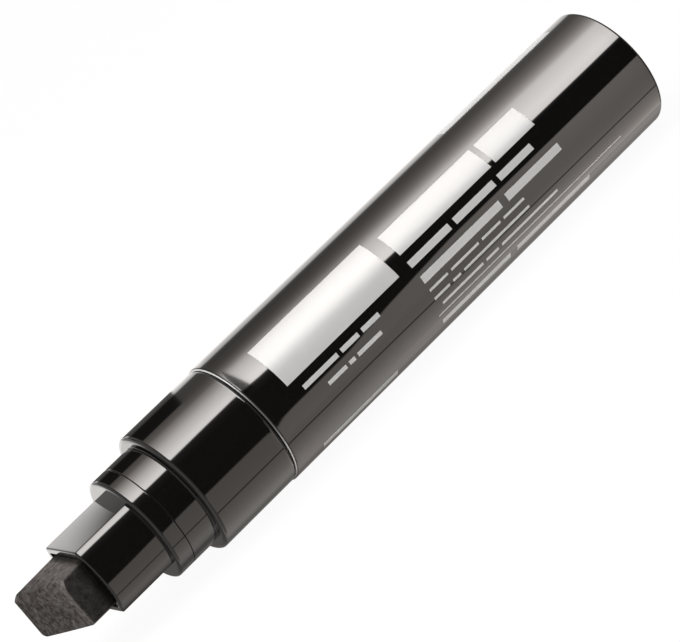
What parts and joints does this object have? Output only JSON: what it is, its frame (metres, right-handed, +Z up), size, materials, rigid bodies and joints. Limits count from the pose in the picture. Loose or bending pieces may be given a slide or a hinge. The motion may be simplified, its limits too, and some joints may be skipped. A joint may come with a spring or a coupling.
{
  "type": "permanent marker",
  "caption": "Jumbo permanent marker lying uncapped: gloss black aluminium barrel, stepped collar, flat-sided holder, slanted felt chisel nib, and a pull-off cap in line with it.",
  "frame": {"origin": "on the surface that the marker lies on, below the middle of the marker and its pulled-off cap", "axes": "+X along the marker's axis towards the tail, +Z up, square to the wide flats of the nib, +Y towards the long side of the slanted nib"},
  "size_m": [0.2182, 0.0286, 0.0286],
  "materials": {
    "coated_barrel": "gloss",
    "gloss_black": "gloss",
    "felt": "ground felt, soaked with ink",
    "ink_fibre": "bonded fibre, soaked with ink",
    "wrap_film": "clear film",
    "soft_liner": "satin"
  },
  "bodies": {
    "marker": {"barrel": "coated_barrel", "collar": "gloss_black", "nib_holder": "gloss_black", "nib": "felt", "reservoir": "ink_fibre", "reservoir_wrap": "wrap_film"},
    "cap": {"cap_shell": "gloss_black", "cap_liner": "soft_liner"}
  },
  "joints": [
    {"name": "cap_slide", "type": "slide", "parent": "marker", "child": "cap", "axis": [1, 0, 0], "range_m": [0, 0.0524]}
  ]
}
